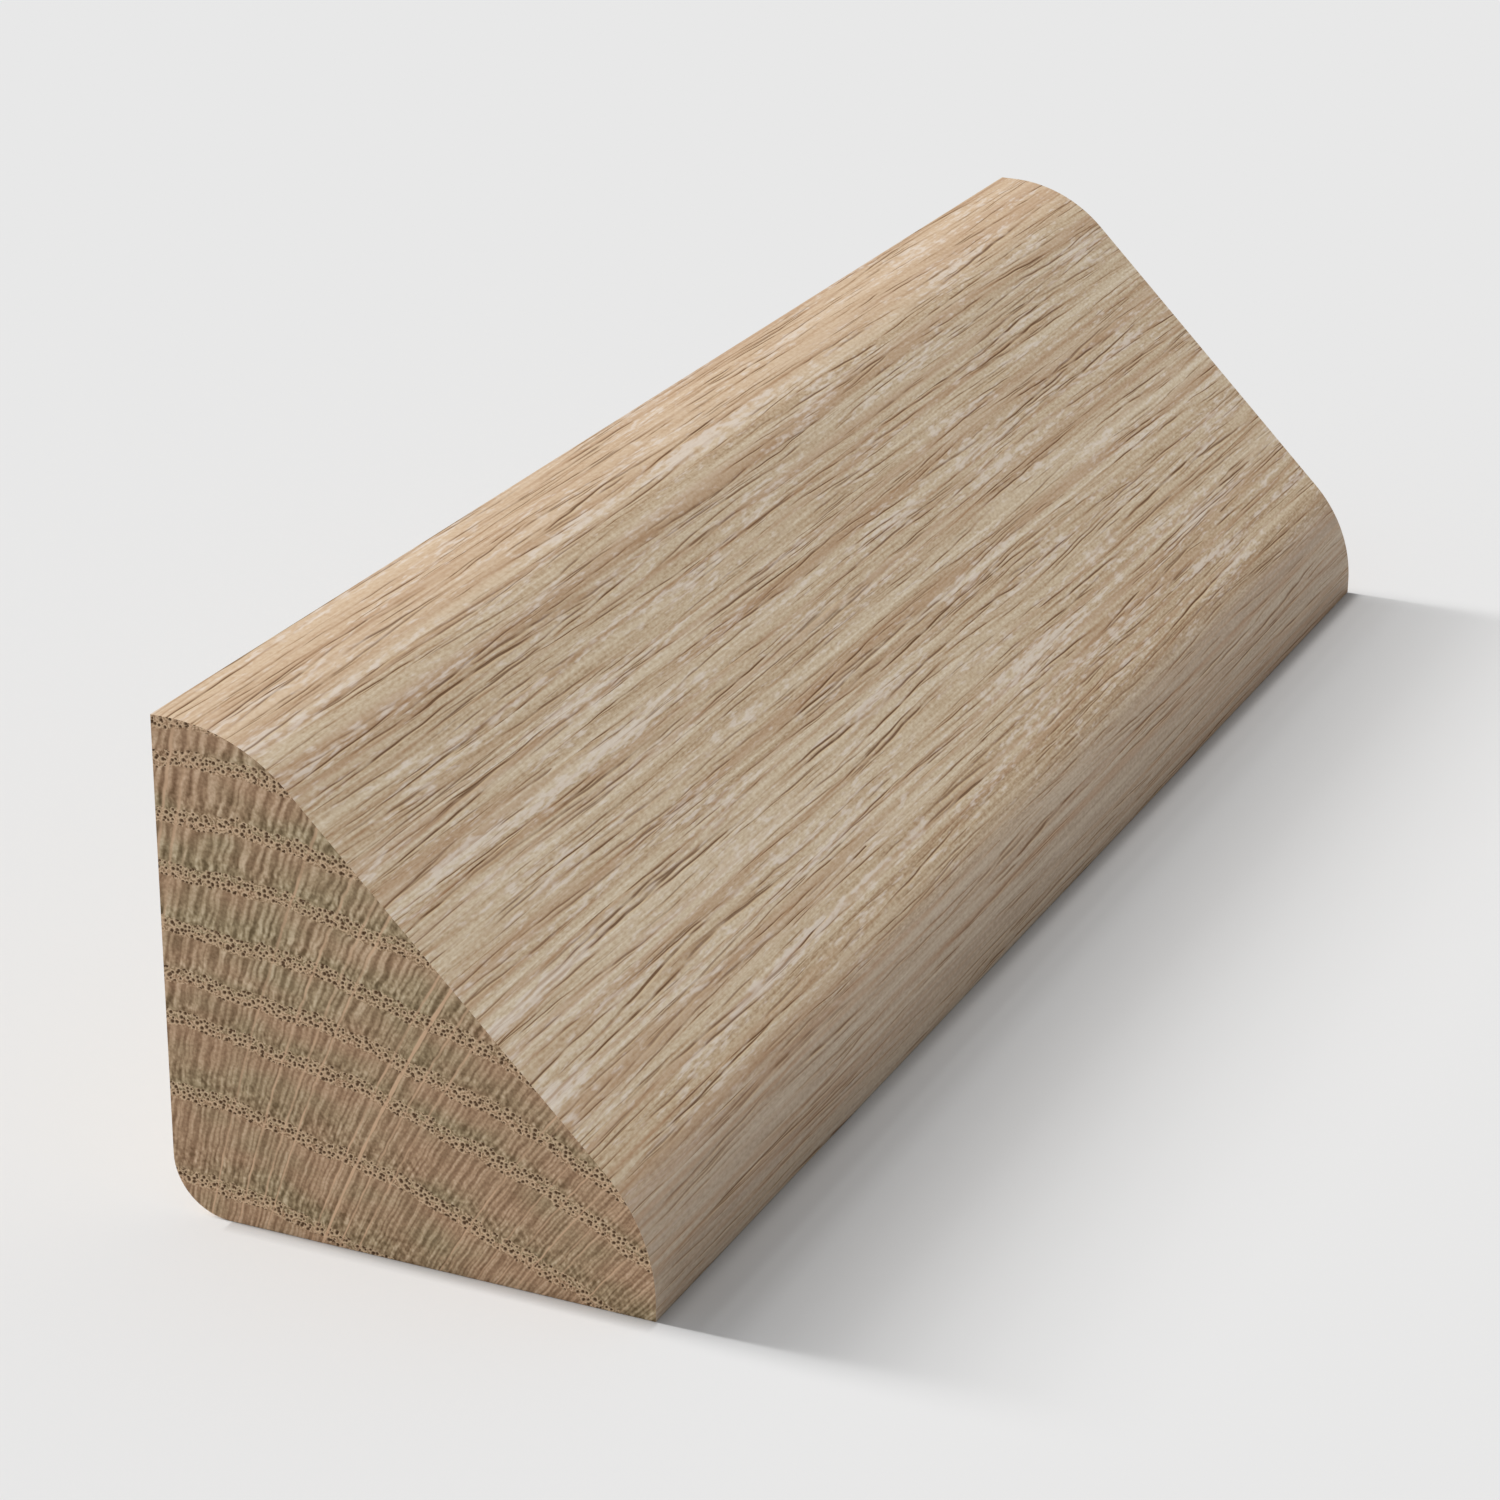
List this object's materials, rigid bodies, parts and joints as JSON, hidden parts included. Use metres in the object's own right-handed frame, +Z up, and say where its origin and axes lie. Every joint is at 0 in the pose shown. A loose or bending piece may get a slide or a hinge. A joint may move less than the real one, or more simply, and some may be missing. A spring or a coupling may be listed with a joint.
{
  "type": "triangle moulding",
  "caption": "Short square-cut length of solid oak triangle moulding with rounded noses and an eased heel, for covering the joint between a wall and a floor.",
  "frame": {"origin": "on the floor, at the middle of the moulding's footprint", "axes": "+X along the length, +Y towards the wall that the tall flat face goes against, +Z up from the floor face"},
  "size_m": [0.075, 0.018, 0.018],
  "materials": {
    "oak": "matte"
  },
  "bodies": {
    "root": {"moulding": "oak"}
  },
  "joints": []
}
